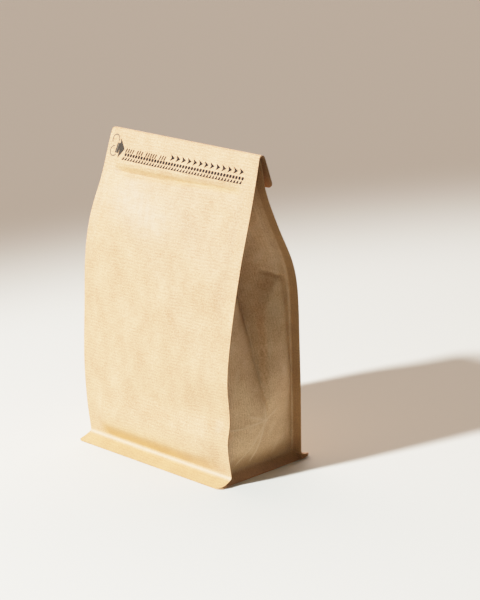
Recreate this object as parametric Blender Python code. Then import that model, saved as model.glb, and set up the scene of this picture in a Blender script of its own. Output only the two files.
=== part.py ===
"""Flat-bottomed kraft coffee bag, shut, with its top folded over behind it.

The bag stands on its base at z = 0, its front panel faces -Y, and its origin
is the middle of the base. Each level of the bag is one closed ring: front
panel, side fin, pleated gusset, fin, back panel, and the same on the other
side. The rings are lofted from the base rim, up the body, over the fold and
down the flap that hangs behind.
"""

import math

import bmesh
import bpy

# Driving dimensions, in metres
WIDTH = 0.140  # across a panel, from fin edge to fin edge
RIM_DEPTH = 0.0908  # from the front rim's outer edge to the back rim's
BODY_BASE = 0.0055  # height of the crease where the rim meets the body
BODY_TOP = 0.2205  # height where the front panel starts to fold over
FIN = 0.0085  # width of the sealed fin along each upright edge
FIN_WALL = 0.0008  # thickness of a fin
RIM_WALL = 0.0006  # thickness of the rim's outer edge
RIM_SIDE = 0.0680  # half width over the rims below the gussets
RIM_CORNER = 0.0060  # corner radius of the front and back rims
RIM_TURN = 0.0060  # how far behind the front rim's edge a side rim begins
TOP_WALL = 0.0010  # thickness of the flattened, folded top
FOLD_RADIUS = 0.0028  # outer radius of the fold
FLAP_LENGTH = 0.0233  # straight length of the flap behind the fold
FLAP_LEAN = math.radians(21.0)  # how far the flap stands off from upright
FLAP_CORNER = 0.0045  # corner radius at the flap's end
PANEL_SWELL = 0.0026  # how far the middle of a panel swells
GUSSET_SWELL = 0.0034  # how far each half of a gusset swells
SWELL_RUN = 0.030  # height over which the swell of a gusset grows or fades

# Upright profiles as (height, distance) stations, joined by smooth curves: y
# for the panels, and x for the gusset's centre fold, which bulges out above
# the rim, sinks in as a pleat higher up and is pressed flat under the fold
FRONT_RIGHT = (
    (0.0055, -0.0352), (0.030, -0.0390), (0.046, -0.0370), (0.075, -0.0393),
    (0.110, -0.0351), (0.150, -0.0268), (0.190, -0.0160), (0.2205, -0.0089),
)
FRONT_LEFT = (
    (0.0055, -0.0352), (0.030, -0.0386), (0.060, -0.0404), (0.100, -0.0391),
    (0.140, -0.0369), (0.165, -0.0310), (0.190, -0.0205), (0.2205, -0.0103),
)
BACK = (
    (0.0055, 0.0343), (0.050, 0.0332), (0.085, 0.0316), (0.125, 0.0290),
    (0.145, 0.0238), (0.170, 0.0105), (0.190, 0.0006), (0.200, -0.0032),
)
CENTRE_FOLD = (
    (0.0055, 0.0615), (0.020, 0.0670), (0.040, 0.0695), (0.055, 0.0674),
    (0.087, 0.0556), (0.120, 0.0430), (0.150, 0.0325), (0.180, 0.0262),
    (0.195, 0.0270), (0.210, 0.0440), (0.2205, 0.0615),
)

# How finely the rings are cut
PANEL_STEPS = 12
GUSSET_STEPS = 4
RIM_LEVELS = 5
BODY_LEVELS = 40
FOLD_LEVELS = 8
FLAP_LEVELS = 6

PAPER_COLOUR = (0.62, 0.42, 0.22, 1.0)
PAPER_ROUGHNESS = 0.75
SHARP_ANGLE = math.radians(35.0)


def clear_scene():
    """Removes every object, so that the bag starts in an empty scene."""
    for item in list(bpy.data.objects):
        bpy.data.objects.remove(item)


def mix(start, end, share):
    """The value a share of the way from start to end."""
    return start + (end - start) * share


def ease(share):
    """Eases a share from 0 to 1, flat at both ends."""
    share = min(max(share, 0.0), 1.0)
    return share * share * (3 - 2 * share)


def along(stations, height):
    """The distance of a profile at a height: a cubic through its stations."""
    last = len(stations) - 1
    height = min(max(height, stations[0][0]), stations[last][0])
    spot = next(i for i in range(last) if height <= stations[i + 1][0])

    def slope(i):
        low = stations[max(i - 1, 0)]
        high = stations[min(i + 1, last)]
        return (high[1] - low[1]) / (high[0] - low[0])

    z0, d0 = stations[spot]
    z1, d1 = stations[spot + 1]
    gap = z1 - z0
    t = (height - z0) / gap
    return (
        (1 + 2 * t) * (1 - t) ** 2 * d0
        + t * (1 - t) ** 2 * gap * slope(spot)
        + t * t * (3 - 2 * t) * d1
        - t * t * (1 - t) * gap * slope(spot + 1)
    )


def front_at(height, side):
    """The front panel's y at a height; side runs from -1, left, to 1, right."""
    return mix(along(FRONT_LEFT, height), along(FRONT_RIGHT, height), (side + 1) / 2)


def back_at(height, side):
    """The back panel's y at a height: above its stations it closes on the front."""
    join, neck = BACK[-1]
    if height <= join:
        return along(BACK, height)
    top = front_at(BODY_TOP, side) + TOP_WALL
    return mix(neck, top, (height - join) / (BODY_TOP - join))


def panel_swell_at(height):
    """How far a panel's middle stands out at a height: none at rim and fold."""
    share = (height - BODY_BASE) / (BODY_TOP - BODY_BASE)
    return PANEL_SWELL * math.sin(math.pi * min(max(share, 0.0), 1.0)) ** 0.7


def gusset_swell_at(height):
    """How far each half of a gusset stands out from flat at a height."""
    grow = ease((height - BODY_BASE) / SWELL_RUN)
    fade = ease((BODY_TOP - height) / SWELL_RUN)
    return GUSSET_SWELL * grow * fade


def rounded_half_width(inset, radius):
    """Half the width of a panel this far in from an edge with round corners."""
    if inset >= radius:
        return WIDTH / 2
    return WIDTH / 2 - radius + math.sqrt(radius**2 - (radius - inset) ** 2)


def panel_sides():
    """Where a panel's points lie, from -1, left, to 1, right."""
    return [2 * i / PANEL_STEPS - 1 for i in range(PANEL_STEPS + 1)]


def gusset_points(near, far, root, middle, swell):
    """A gusset's points in plan, from the front fin to the back fin.

    near and far are the y of its two roots, root their x, and middle the x
    of its centre fold. Each half swells out between root and fold.
    """
    centre = (near + far) / 2
    halves = (((root, near), (middle, centre)), ((middle, centre), (root, far)))
    points = []
    for (x0, y0), (x1, y1) in halves:
        for i in range(GUSSET_STEPS):
            t = i / GUSSET_STEPS
            x = mix(x0, x1, t) + swell * math.sin(math.pi * t)
            points.append((x, mix(y0, y1, t)))
    return points + [(root, far)]


def level_ring(height, half, front, back, bow, gusset, wall):
    """One level ring of the bag, anticlockwise from above.

    half is half the panels' width, front and back give a panel's y at a side,
    bow is how far the panels swell, gusset holds the root's x, the centre
    fold's x and the swell of a gusset, and wall is how far behind a panel's
    outer face the gusset's root lies.
    """
    ring = [
        (side * half, front(side) - bow * (1 - side**2), height)
        for side in panel_sides()
    ]
    fin_wall = min(wall, FIN_WALL)
    chains = {}
    for side in (1, -1):
        plan = gusset_points(front(side) + wall, back(side) - wall, *gusset)
        near_fin = (half, front(side) + fin_wall)
        far_fin = (half, back(side) - fin_wall)
        chain = [near_fin] + plan + [far_fin]
        chains[side] = [(side * x, y, height) for x, y in chain]
    ring.extend(chains[1])
    ring.extend(
        (side * half, back(side) + bow * (1 - side**2), height)
        for side in reversed(panel_sides())
    )
    ring.extend(reversed(chains[-1]))
    return ring


def rim_rings():
    """The rings of the flared rim, from the base up to the crease."""
    outer = RIM_DEPTH / 2
    root = WIDTH / 2 - FIN
    front_crease = front_at(BODY_BASE, 0)
    back_crease = back_at(BODY_BASE, 0)
    levels = [(0.0, 0.0)]
    for i in range(RIM_LEVELS):
        share = i / RIM_LEVELS
        levels.append((mix(RIM_WALL, BODY_BASE, share), share))
    rings = []
    for height, share in levels:
        front_y = mix(-outer, front_crease, share)
        back_y = mix(outer, back_crease, share)
        half = rounded_half_width(front_y + outer, RIM_CORNER)
        side_x = mix(RIM_SIDE, root, share)
        turn = mix(RIM_TURN, FIN_WALL, share)
        rings.append(
            level_ring(
                height, half,
                lambda side, y=front_y: y,
                lambda side, y=back_y: y,
                0.0, (side_x, side_x, 0.0), turn,
            )
        )
    return rings


def body_rings():
    """The rings from the crease above the rim up to the fold."""
    root = WIDTH / 2 - FIN
    rings = []
    for i in range(BODY_LEVELS + 1):
        height = mix(BODY_BASE, BODY_TOP, i / BODY_LEVELS)
        thickness = back_at(height, 1) - front_at(height, 1)
        gusset = (root, along(CENTRE_FOLD, height), gusset_swell_at(height))
        rings.append(
            level_ring(
                height, WIDTH / 2,
                lambda side, z=height: front_at(z, side),
                lambda side, z=height: back_at(z, side),
                panel_swell_at(height), gusset, min(FIN_WALL, 0.35 * thickness),
            )
        )
    return rings


def folded_rings():
    """The rings over the fold and down the flap, to the flap's cut end."""
    below = BODY_TOP - FLAP_LENGTH
    climb = front_at(BODY_TOP, 0) - front_at(below, 0)
    start = math.atan2(climb, FLAP_LENGTH)
    turn = math.pi - FLAP_LEAN - start
    rings = []
    for i in range(FOLD_LEVELS):
        heading = start + turn * (i + 1) / FOLD_LEVELS
        rings.append(folded_ring(start, heading, 0.0))
    for i in range(FLAP_LEVELS):
        left = 1 - (i + 1) / FLAP_LEVELS
        rings.append(folded_ring(start, start + turn, FLAP_LENGTH * (1 - left**2)))
    return rings


def folded_ring(start, heading, run):
    """One ring where the flat top has turned to a heading from upright.

    start is the heading at the foot of the fold. The outer face runs round
    the fold's radius, the inner face round that less the wall, and run is the
    distance past the end of the fold.
    """

    def place(side, depth):
        centre_y = front_at(BODY_TOP, side) + FOLD_RADIUS * math.cos(start)
        centre_z = BODY_TOP - FOLD_RADIUS * math.sin(start)
        reach = FOLD_RADIUS - depth
        y = centre_y - reach * math.cos(heading) + run * math.sin(heading)
        z = centre_z + reach * math.sin(heading) + run * math.cos(heading)
        return y, z

    half = rounded_half_width(FLAP_LENGTH - run, FLAP_CORNER)
    wall = 0.35 * TOP_WALL
    gusset_count = 2 * GUSSET_STEPS + 1
    depths = [mix(wall, TOP_WALL - wall, i / (gusset_count - 1)) for i in range(gusset_count)]
    depths = [wall] + depths + [TOP_WALL - wall]
    across = [half] + [half - FIN] * gusset_count + [half]
    chains = {}
    for side in (1, -1):
        chains[side] = [(side * x, *place(side, depth)) for x, depth in zip(across, depths)]
    ring = [(side * half, *place(side, 0.0)) for side in panel_sides()]
    ring.extend(chains[1])
    ring.extend((side * half, *place(side, TOP_WALL)) for side in reversed(panel_sides()))
    ring.extend(reversed(chains[-1]))
    return ring


def loft(name, rings):
    """A closed mesh through the rings, with a face across each end ring."""
    shape = bmesh.new()
    rows = [[shape.verts.new(point) for point in ring] for ring in rings]
    count = len(rows[0])
    for low, high in zip(rows, rows[1:]):
        for i in range(count):
            j = (i + 1) % count
            shape.faces.new((low[i], low[j], high[j], high[i]))
    shape.faces.new(reversed(rows[0]))
    shape.faces.new(rows[-1])
    bmesh.ops.triangulate(shape, faces=shape.faces, ngon_method="EAR_CLIP")
    mesh = bpy.data.meshes.new(name)
    shape.to_mesh(mesh)
    shape.free()
    return mesh


def kraft_paper():
    """Brown kraft paper, matt, with a Principled shader."""
    paper = bpy.data.materials.new("kraft_paper")
    paper.use_nodes = True
    shader = paper.node_tree.nodes["Principled BSDF"]
    shader.inputs["Base Color"].default_value = PAPER_COLOUR
    shader.inputs["Roughness"].default_value = PAPER_ROUGHNESS
    return paper


def build_bag():
    """The whole bag as one closed object in its own collection."""
    mesh = loft("bag", rim_rings() + body_rings() + folded_rings())
    mesh.materials.append(kraft_paper())
    mesh.shade_smooth()
    mesh.set_sharp_from_angle(angle=SHARP_ANGLE)
    bag = bpy.data.objects.new("bag", mesh)
    group = bpy.data.collections.new("coffee_bag")
    bpy.context.scene.collection.children.link(group)
    group.objects.link(bag)


clear_scene()
build_bag()
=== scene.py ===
"""Looks of a kraft paper coffee bag: a shut, flat-bottomed bag with a folded top.

The bag is made of thin paper sheets, as a real one is: a front and a back
panel, two pleated gussets and a bottom sheet, sealed to each other in fins up
the four edges and in a flared rim round the base. The tear strip's print lies
on the front panel. Lengths are in metres, +Z is up and the front faces -Y.
"""

import logging
import math
from dataclasses import dataclass, field
from enum import Enum

import bpy
import numpy as np
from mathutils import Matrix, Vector


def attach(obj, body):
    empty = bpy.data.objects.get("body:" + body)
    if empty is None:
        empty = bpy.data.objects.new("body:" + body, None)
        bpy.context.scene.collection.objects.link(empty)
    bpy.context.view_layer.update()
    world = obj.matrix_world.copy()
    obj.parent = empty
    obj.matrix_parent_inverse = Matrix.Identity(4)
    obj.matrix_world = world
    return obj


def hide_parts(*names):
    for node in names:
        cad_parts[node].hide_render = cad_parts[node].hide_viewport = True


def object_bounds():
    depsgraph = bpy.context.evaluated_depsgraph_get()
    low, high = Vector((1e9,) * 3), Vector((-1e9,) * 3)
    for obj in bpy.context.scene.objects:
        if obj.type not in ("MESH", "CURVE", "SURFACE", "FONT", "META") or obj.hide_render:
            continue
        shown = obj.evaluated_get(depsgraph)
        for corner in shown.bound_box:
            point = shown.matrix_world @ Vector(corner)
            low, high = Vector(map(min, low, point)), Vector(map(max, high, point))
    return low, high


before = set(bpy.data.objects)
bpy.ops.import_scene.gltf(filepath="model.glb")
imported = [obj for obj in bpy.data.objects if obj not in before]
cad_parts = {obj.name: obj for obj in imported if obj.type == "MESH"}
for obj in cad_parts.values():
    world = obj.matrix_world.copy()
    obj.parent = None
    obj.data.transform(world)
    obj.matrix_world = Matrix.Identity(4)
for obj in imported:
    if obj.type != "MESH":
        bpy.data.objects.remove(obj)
CAD_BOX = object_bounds()

LOG = logging.getLogger("coffee_bag")
BODY = "root"
NODE = "bag"
MM = 0.001
UV_SPAN = 0.30  # metres of paper that one unit of a UV map stands for
UV_ORIGIN = (0.5, 0.04)  # the UV of the middle of the paper's lower edge
SHARP_ANGLE = math.radians(50.0)

Array = np.ndarray
Colour = tuple[float, float, float, float]
Place = tuple[float, float]


class Side(Enum):
    """Which side of the bag a piece is on, seen from the front."""

    LEFT = -1
    RIGHT = 1


class Layer(Enum):
    """Which of the two panels a sheet is."""

    FRONT = 0
    BACK = 1


# ---------------------------------------------------------------- arithmetic


def mix(start: Array, end: Array, share: Array) -> Array:
    """The value a share of the way from start to end."""
    return start + (end - start) * share


def ease(share: Array) -> Array:
    """A share eased from 0 to 1, flat at both ends: 3t^2 - 2t^3."""
    t = np.clip(share, 0.0, 1.0)
    return t * t * (3.0 - 2.0 * t)


def hump(distance: Array, width: Array) -> Array:
    """A bell that is 1 at no distance and fades over the width: exp(-(d/w)^2)."""
    return np.exp(-np.square(distance / width))


@dataclass(frozen=True)
class Profile:
    """A smooth line through stations of (height, distance)."""

    stations: tuple[Place, ...]

    def at(self, height: Array) -> Array:
        """The distance at each height.

        A cubic joins each two stations; its slope at a station is that of the
        line between the stations on either side of it.

        Args:
            height: Heights, of any shape.

        Returns:
            The distances, in the shape of the heights.
        """
        z, d = np.array(self.stations).T
        low = np.maximum(np.arange(len(z)) - 1, 0)
        high = np.minimum(np.arange(len(z)) + 1, len(z) - 1)
        slope = (d[high] - d[low]) / (z[high] - z[low])
        h = np.clip(height, z[0], z[-1])
        i = np.clip(np.searchsorted(z, h, side="right") - 1, 0, len(z) - 2)
        gap = z[i + 1] - z[i]
        t = (h - z[i]) / gap
        return (
            (1 + 2 * t) * (1 - t) ** 2 * d[i]
            + t * (1 - t) ** 2 * gap * slope[i]
            + t * t * (3 - 2 * t) * d[i + 1]
            - t * t * (1 - t) * gap * slope[i + 1]
        )


@dataclass(frozen=True)
class Lumps:
    """Soft, uneven lumps: a sum of plane waves in seeded random directions."""

    seed: int
    length: float
    waves: int = 14
    spread: Place = (0.6, 1.7)

    def at(self, across: Array, along: Array) -> Array:
        """The lumps' height, about -1 to 1, at points of a sheet.

        Each wave is cos(k . p + phase), with a length spread about the
        length that the lumps have, and the sum is scaled to a steady size.

        Args:
            across: Places across the sheet.
            along: Places along it.

        Returns:
            The height at each point.
        """
        draw = np.random.default_rng(self.seed)
        angle = draw.uniform(0.0, 2 * math.pi, self.waves)
        size = 2 * math.pi / (self.length * draw.uniform(*self.spread, self.waves))
        phase = draw.uniform(0.0, 2 * math.pi, self.waves)
        total = np.zeros(np.broadcast(across, along).shape)
        for a, k, p in zip(angle, size, phase):
            total += np.cos(k * (math.cos(a) * across + math.sin(a) * along) + p)
        return total / math.sqrt(self.waves)


@dataclass(frozen=True)
class Crease:
    """A crease between two points of a sheet, raised or sunk, faded at its ends."""

    start: Place
    end: Place
    rise: float
    width: float
    fade: float = 0.006

    def at(self, across: Array, along: Array) -> Array:
        """The crease's strength, 0 to 1: a bell of the distance to the line.

        Args:
            across: Places across the sheet.
            along: Places along it.

        Returns:
            The strength at each point, faded out past the line's two ends.
        """
        (x0, y0), (x1, y1) = self.start, self.end
        length = math.hypot(x1 - x0, y1 - y0)
        tx, ty = (x1 - x0) / length, (y1 - y0) / length
        run = (across - x0) * tx + (along - y0) * ty
        off = (along - y0) * tx - (across - x0) * ty
        ends = ease((run + self.fade) / self.fade) * ease((length + self.fade - run) / self.fade)
        return hump(off, self.width) * ends


@dataclass(frozen=True)
class Dent:
    """A soft oval dent, or a lump where its depth is negative."""

    centre: Place
    radius: Place
    depth: float
    turn: float = 0.0

    def at(self, across: Array, along: Array) -> Array:
        """The dent's height at points of a sheet: a bell over a turned oval.

        Args:
            across: Places across the sheet.
            along: Places along it.

        Returns:
            The height at each point, below 0 in a dent.
        """
        x = across - self.centre[0]
        y = along - self.centre[1]
        c, s = math.cos(self.turn), math.sin(self.turn)
        u = (x * c + y * s) / self.radius[0]
        v = (y * c - x * s) / self.radius[1]
        return -self.depth * np.exp(-(u * u + v * v))


# ---------------------------------------------------------------- mesh making


def outward(points: Array) -> Array:
    """The unit normals of a grid of points: its two gradients' cross product.

    Args:
        points: Grid of points, rows by columns by 3.

    Returns:
        The normals, of the same shape, on the side that sees the rows rise
        and the columns run to the right.
    """
    normal = np.cross(np.gradient(points, axis=1), np.gradient(points, axis=0))
    return normal / np.maximum(np.linalg.norm(normal, axis=2, keepdims=True), 1e-12)


def grid_faces(rows: int, columns: int) -> Array:
    """The quads of a grid of points that are numbered row by row.

    Args:
        rows: How many rows of points.
        columns: How many points in each row.

    Returns:
        Point numbers, faces by 4.
    """
    index = np.arange(rows * columns).reshape(rows, columns)
    corners = (index[:-1, :-1], index[:-1, 1:], index[1:, 1:], index[1:, :-1])
    return np.stack([corner.ravel() for corner in corners], axis=1)


def edge_loop(rows: int, columns: int) -> Array:
    """The numbers of the points round a grid's edge, in order.

    Args:
        rows: How many rows of points.
        columns: How many points in each row.

    Returns:
        The point numbers, each once.
    """
    index = np.arange(rows * columns).reshape(rows, columns)
    return np.concatenate([index[0, :-1], index[:-1, -1], index[-1, :0:-1], index[:0:-1, 0]])


def flat_place(across: Array, along: Array) -> Array:
    """The UVs of places on the flat paper, count by 2."""
    return np.stack([across, along], axis=1) / UV_SPAN + UV_ORIGIN


def make_mesh(name: str, points: Array, quads: Array, uv: Array) -> bpy.types.Object:
    """An object at the origin from arrays of points, quads and UVs.

    Args:
        name: The object's name.
        points: Points, count by 3.
        quads: Point numbers, faces by 4.
        uv: The UV of each point, count by 2.

    Returns:
        The object, linked to the scene.
    """
    mesh = bpy.data.meshes.new(name)
    mesh.vertices.add(len(points))
    mesh.vertices.foreach_set("co", points.astype(np.float32).ravel())
    mesh.loops.add(quads.size)
    mesh.loops.foreach_set("vertex_index", quads.astype(np.int32).ravel())
    mesh.polygons.add(len(quads))
    mesh.polygons.foreach_set("loop_start", np.arange(0, quads.size, 4, dtype=np.int32))
    mesh.update(calc_edges=True)
    layer = mesh.uv_layers.new(name="paper")
    layer.data.foreach_set("uv", uv[quads.ravel()].astype(np.float32).ravel())
    mesh.shade_smooth()
    mesh.set_sharp_from_angle(angle=SHARP_ANGLE)
    piece = bpy.data.objects.new(name, mesh)
    bpy.context.scene.collection.objects.link(piece)
    return piece


@dataclass
class Sheet:
    """A grid of points of a paper sheet's outer face, with what it carries."""

    points: Array
    across: Array
    along: Array
    # How pale the paper is made by wear and by painted highlights and sheen, and how dark by seals
    # and by painted shade.
    worn: Array = field(default_factory=lambda: np.zeros(0))
    pressed: Array = field(default_factory=lambda: np.zeros(0))

    def raise_by(self, height: Array) -> None:
        """Moves each point along the sheet's normal by a height."""
        self.points = self.points + outward(self.points) * height[..., None]

    def shell(self, name: str, thickness: float) -> bpy.types.Object:
        """The sheet as a closed shell: both faces and a rim between them.

        The inner face is the outer face moved back along the normals. The
        UV map holds the place on the flat paper. Two attributes hold how pale
        the paper is made there by wear and by painted highlights and sheen, and
        how dark it is made by seals and by painted shade.

        Args:
            name: The object's name.
            thickness: The paper's thickness.

        Returns:
            The finished object.
        """
        rows, columns = self.across.shape
        count = rows * columns
        inner = self.points - outward(self.points) * thickness
        points = np.concatenate([self.points.reshape(-1, 3), inner.reshape(-1, 3)])
        outer_quads = grid_faces(rows, columns)
        loop = edge_loop(rows, columns)
        ahead = np.roll(loop, -1)
        rim = np.stack([loop, loop + count, ahead + count, ahead], axis=1)
        quads = np.concatenate([outer_quads, outer_quads[:, ::-1] + count, rim])
        flat = flat_place(self.across.ravel(), self.along.ravel())
        piece = make_mesh(name, points, quads, np.concatenate([flat, flat]))
        for mark, strength in (("worn", self.worn), ("pressed", self.pressed)):
            full = strength if strength.size else np.zeros(self.across.shape)
            values = np.concatenate([full.ravel(), full.ravel()]).astype(np.float32)
            piece.data.attributes.new(mark, "FLOAT", "POINT").data.foreach_set("value", values)
        return piece


def settle(piece: bpy.types.Object, finish: bpy.types.Material, stands_for_node: bool) -> None:
    """Gives a piece its finish and its place in the frame, and reports it.

    Args:
        piece: The piece.
        finish: Its material.
        stands_for_node: Whether it takes the plain solid's place.
    """
    piece.data.materials.append(finish)
    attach(piece, BODY)
    if stands_for_node:
        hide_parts(NODE)
    LOG.info("%s: %d faces", piece.name, len(piece.data.polygons))


# -------------------------------------------------------------------- finishes


@dataclass(frozen=True)
class Nodes:
    """Short ways to add nodes to a material."""

    tree: bpy.types.NodeTree

    def add(self, kind: str, links: dict | None = None, **values: object) -> bpy.types.Node:
        """Adds a node, sets its properties and fills its sockets.

        Args:
            kind: The node's type.
            links: Socket name or number to a socket, a number or a tuple.
            **values: The node's own properties.

        Returns:
            The new node.
        """
        node = self.tree.nodes.new(kind)
        for key, value in values.items():
            setattr(node, key, value)
        for key, value in (links or {}).items():
            if isinstance(value, bpy.types.NodeSocket):
                self.tree.links.new(value, node.inputs[key])
            else:
                node.inputs[key].default_value = value
        return node

    def maths(self, operation: str, *values: object) -> bpy.types.NodeSocket:
        """The result of a Math node on up to three sockets or numbers."""
        links = dict(enumerate(values))
        return self.add("ShaderNodeMath", links, operation=operation).outputs[0]

    def blend(self, share: object, start: object, end: object) -> bpy.types.NodeSocket:
        """The colour a share of the way from start to end."""
        links = {0: share, 6: start, 7: end}
        return self.add("ShaderNodeMix", links, data_type="RGBA").outputs[2]

    def weigh(self, value: object, weight: float, shade: object) -> bpy.types.NodeSocket:
        """A shade plus a weight times a value that swings about a half."""
        swing = self.maths("SUBTRACT", value, 0.5)
        return self.maths("MULTIPLY_ADD", swing, weight, shade)

    def noise(self, place: object, scale: tuple, detail: float, rough: float = 0.5) -> object:
        """Noise on a place that is stretched by a scale for each axis.

        Args:
            place: The place's socket.
            scale: Waves for each unit along each axis.
            detail: How many finer layers are added.
            rough: How strong each finer layer is beside the last.

        Returns:
            The socket of the noise, from 0 to 1.
        """
        stretched = self.add("ShaderNodeMapping", {"Vector": place, "Scale": scale})
        links = {"Vector": stretched.outputs[0], "Scale": 1.0, "Detail": detail, "Roughness": rough}
        return self.add("ShaderNodeTexNoise", links).outputs["Fac"]


@dataclass(frozen=True)
class KraftPaper:
    """Machine-ribbed kraft paper: fine ribs across, long fibres and mottling."""

    name: str
    light: Colour = (0.740, 0.465, 0.240, 1.0)
    dark: Colour = (0.420, 0.215, 0.092, 1.0)
    worn: Colour = (0.720, 0.540, 0.350, 1.0)
    pressed: Colour = (0.560, 0.300, 0.098, 1.0)
    rib_pitch: float = 2.26
    rib_shade: float = 0.15
    rib_wobble: float = 5.0
    rib_fading: Place = (1.6, -0.3)
    fibre_shade: float = 0.65
    grain_shade: float = 1.9
    mottle_shade: float = 0.85
    blotch: float = 1.25
    seal_swing: float = 0.20
    relief: tuple[float, float, float] = (0.30, 0.90, 0.35)
    relief_height: float = 0.00012
    relief_strength: float = 0.55
    roughness: float = 0.62
    gloss: float = 0.35

    def material(self) -> bpy.types.Material:
        """Builds the material.

        The place on the flat paper, in millimetres, comes from the UV map.
        Ribs are a sine along the paper, bent and weakened by noise; fibres are
        noise stretched across it; mottling is broad noise. Their sum picks a
        shade between dark and light, and lifts the bump. The tone turns to
        the darker sealed one where there are seals and painted shade, then
        pale where there is wear and painted highlights and sheen.

        Returns:
            The material.
        """
        made = bpy.data.materials.new(self.name)
        made.use_nodes = True
        kit = Nodes(made.node_tree)
        shader = made.node_tree.nodes["Principled BSDF"]
        paper = kit.add("ShaderNodeUVMap", uv_map="paper").outputs[0]
        scale = (UV_SPAN / MM, UV_SPAN / MM, 1.0)
        place = kit.add("ShaderNodeMapping", {"Vector": paper, "Scale": scale}).outputs[0]
        along = kit.add("ShaderNodeSeparateXYZ", {0: place}).outputs[1]
        wobble = kit.noise(place, (0.035, 0.05, 1.0), 2.0)
        patch = kit.noise(place, (0.11, 0.9, 1.0), 2.0)
        bent = kit.maths("MULTIPLY_ADD", wobble, self.rib_wobble, along)
        rib = kit.maths("SINE", kit.maths("MULTIPLY", bent, 2 * math.pi / self.rib_pitch))
        ribs = kit.maths("MULTIPLY", rib, kit.maths("MULTIPLY_ADD", patch, *self.rib_fading))
        fibre = kit.noise(place, (0.22, 1.3, 1.0), 3.0, 0.62)
        grain = kit.noise(place, (0.9, 1.1, 1.0), 3.0, 0.75)
        mottle = kit.noise(place, (0.075, 0.045, 1.0), 5.0, 0.68)
        shade = kit.maths("MULTIPLY_ADD", ribs, self.rib_shade, 0.5)
        shade = kit.weigh(fibre, self.fibre_shade, shade)
        shade = kit.weigh(grain, self.grain_shade * self.blotch, shade)
        shade = kit.weigh(mottle, self.mottle_shade * self.blotch, shade)
        tone = kit.blend(shade, self.dark, self.light)
        # Darker where there are seals and painted shade, then paler where there is wear and painted
        # highlights and sheen.
        worn = kit.add("ShaderNodeAttribute", attribute_name="worn").outputs["Fac"]
        pressed = kit.add("ShaderNodeAttribute", attribute_name="pressed").outputs["Fac"]
        deep = self.seal_and_shade_tone(1.0 - self.seal_swing)
        fair = self.seal_and_shade_tone(1.0 + self.seal_swing)
        sealed = kit.blend(pressed, tone, kit.blend(shade, deep, fair))
        paled = kit.blend(worn, sealed, self.worn)
        of_ribs, of_fibre, of_grain = self.relief
        height = kit.maths("MULTIPLY_ADD", ribs, of_ribs, kit.maths("MULTIPLY", fibre, of_fibre))
        height = kit.maths("MULTIPLY_ADD", grain, of_grain, height)
        lift = {"Strength": self.relief_strength, "Distance": self.relief_height, "Height": height}
        bump = kit.add("ShaderNodeBump", lift)
        made.node_tree.links.new(paled, shader.inputs["Base Color"])
        made.node_tree.links.new(bump.outputs[0], shader.inputs["Normal"])
        shader.inputs["Roughness"].default_value = self.roughness
        shader.inputs["Specular IOR Level"].default_value = self.gloss
        return made

    def seal_and_shade_tone(self, share: float) -> Colour:
        """The tone of seals and of painted shade, with its light scaled by a share."""
        red, green, blue, _ = self.pressed
        return share * red, share * green, share * blue, 1.0


@dataclass(frozen=True)
class PrintInk:
    """Ink on kraft paper: a plain tone that the paper's fibres break up."""

    name: str
    ink: Colour
    thin: Colour
    fibre_scale: tuple[float, float, float] = (0.9, 0.9, 2.4)
    wear: Place = (2.4, -0.85)
    roughness: float = 0.6
    gloss: float = 0.08

    def material(self) -> bpy.types.Material:
        """Builds the material: two tones mixed by fine noise.

        Returns:
            The material.
        """
        made = bpy.data.materials.new(self.name)
        made.use_nodes = True
        kit = Nodes(made.node_tree)
        shader = made.node_tree.nodes["Principled BSDF"]
        place = kit.add("ShaderNodeTexCoord").outputs["Object"]
        scale = tuple(waves / MM for waves in self.fibre_scale)
        fibres = kit.noise(place, scale, 3.0, 0.6)
        share = kit.maths("MULTIPLY_ADD", fibres, *self.wear)
        clear = kit.maths("MINIMUM", kit.maths("MAXIMUM", share, 0.0), 1.0)
        tone = kit.blend(clear, self.ink, self.thin)
        made.node_tree.links.new(tone, shader.inputs["Base Color"])
        shader.inputs["Roughness"].default_value = self.roughness
        shader.inputs["Specular IOR Level"].default_value = self.gloss
        return made


# -------------------------------------------------------------------- the form


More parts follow.
